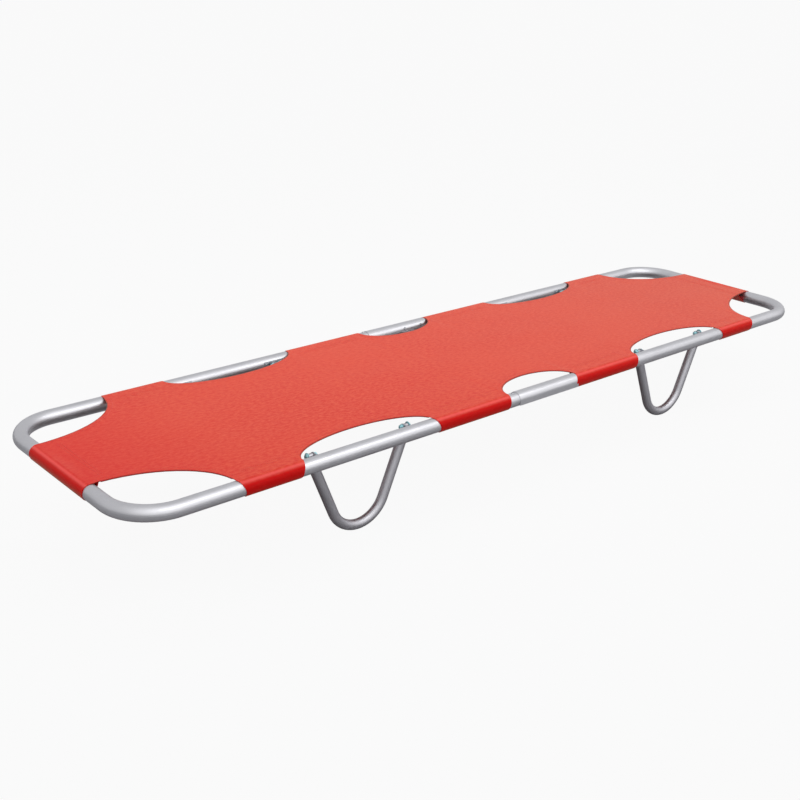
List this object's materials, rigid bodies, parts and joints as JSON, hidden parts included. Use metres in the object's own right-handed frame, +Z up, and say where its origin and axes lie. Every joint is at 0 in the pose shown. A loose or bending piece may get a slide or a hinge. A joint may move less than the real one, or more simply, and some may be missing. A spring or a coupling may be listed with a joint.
{
  "type": "folding stretcher",
  "caption": "Rescue stretcher with a coated cloth bed on a round-tube frame that folds at mid length, standing on V-shaped legs that fold flat beneath it.",
  "frame": {"origin": "on the ground, below the centre of the open stretcher", "axes": "+X along the stretcher towards the foot half, +Y across it towards the far side, +Z up"},
  "size_m": [2.083, 0.555, 0.2116],
  "materials": {
    "rail_aluminium": "satin, bright",
    "sleeve_aluminium": "satin",
    "leg_aluminium": "satin, darker",
    "rivet_aluminium": "plain",
    "steel_fittings": "zinc plated",
    "zinc_plated_steel": "blue-green zinc plating",
    "black_plastic": "moulded",
    "red_canvas": "coated cloth, semi-matt"
  },
  "bodies": {
    "head_half": {"fold_hinge_pins": "steel_fittings", "head_canvas_panel": "red_canvas", "head_canvas_pockets": "red_canvas", "head_far_bracket_rivets": "rivet_aluminium", "head_far_leg_brackets": "steel_fittings", "head_far_pivot_bolts": "zinc_plated_steel", "head_far_pivot_nuts": "zinc_plated_steel", "head_frame_tube": "rail_aluminium", "head_hinge_leaves": "steel_fittings", "head_leaf_rivets": "rivet_aluminium", "head_near_bracket_rivets": "rivet_aluminium", "head_near_leg_brackets": "steel_fittings", "head_near_pivot_bolts": "zinc_plated_steel", "head_near_pivot_nuts": "zinc_plated_steel", "head_tube_plugs": "black_plastic", "stop_rivets": "rivet_aluminium"},
    "foot_half": {"far_joint_sleeve": "sleeve_aluminium", "far_sleeve_rivets": "rivet_aluminium", "foot_canvas_panel": "red_canvas", "foot_canvas_pockets": "red_canvas", "foot_far_bracket_rivets": "rivet_aluminium", "foot_far_leg_brackets": "steel_fittings", "foot_far_pivot_bolts": "zinc_plated_steel", "foot_far_pivot_nuts": "zinc_plated_steel", "foot_frame_tube": "rail_aluminium", "foot_hinge_leaves": "steel_fittings", "foot_leaf_rivets": "rivet_aluminium", "foot_near_bracket_rivets": "rivet_aluminium", "foot_near_leg_brackets": "steel_fittings", "foot_near_pivot_bolts": "zinc_plated_steel", "foot_near_pivot_nuts": "zinc_plated_steel", "foot_tube_plugs": "black_plastic", "near_joint_sleeve": "sleeve_aluminium", "near_sleeve_rivets": "rivet_aluminium"},
    "head_near_leg": {"head_near_leg_tube": "leg_aluminium", "head_near_leg_eye_plugs": "leg_aluminium"},
    "head_far_leg": {"head_far_leg_tube": "leg_aluminium", "head_far_leg_eye_plugs": "leg_aluminium"},
    "foot_near_leg": {"foot_near_leg_tube": "leg_aluminium", "foot_near_leg_eye_plugs": "leg_aluminium"},
    "foot_far_leg": {"foot_far_leg_tube": "leg_aluminium", "foot_far_leg_eye_plugs": "leg_aluminium"}
  },
  "joints": [
    {"name": "fold", "type": "hinge", "parent": "head_half", "child": "foot_half", "pos_m": [0, 0, 0.175], "axis": [0, 1, 0], "range_deg": [0, 180]},
    {"name": "head_near_leg_fold", "type": "hinge", "parent": "head_half", "child": "head_near_leg", "pos_m": [-0.502, -0.23, 0.197], "axis": [1, 0, 0], "range_deg": [0, 90]},
    {"name": "head_far_leg_fold", "type": "hinge", "parent": "head_half", "child": "head_far_leg", "pos_m": [-0.502, 0.23, 0.197], "axis": [-1, 0, 0], "range_deg": [0, 90]},
    {"name": "foot_near_leg_fold", "type": "hinge", "parent": "foot_half", "child": "foot_near_leg", "pos_m": [0.502, -0.23, 0.197], "axis": [1, 0, 0], "range_deg": [0, 90]},
    {"name": "foot_far_leg_fold", "type": "hinge", "parent": "foot_half", "child": "foot_far_leg", "pos_m": [0.502, 0.23, 0.197], "axis": [-1, 0, 0], "range_deg": [0, 90]}
  ],
  "couplings": [
    {"joint": "head_near_leg_fold", "follows": "fold", "ratio": 0.5},
    {"joint": "head_far_leg_fold", "follows": "fold", "ratio": 0.5},
    {"joint": "foot_near_leg_fold", "follows": "fold", "ratio": 0.5},
    {"joint": "foot_far_leg_fold", "follows": "fold", "ratio": 0.5}
  ]
}
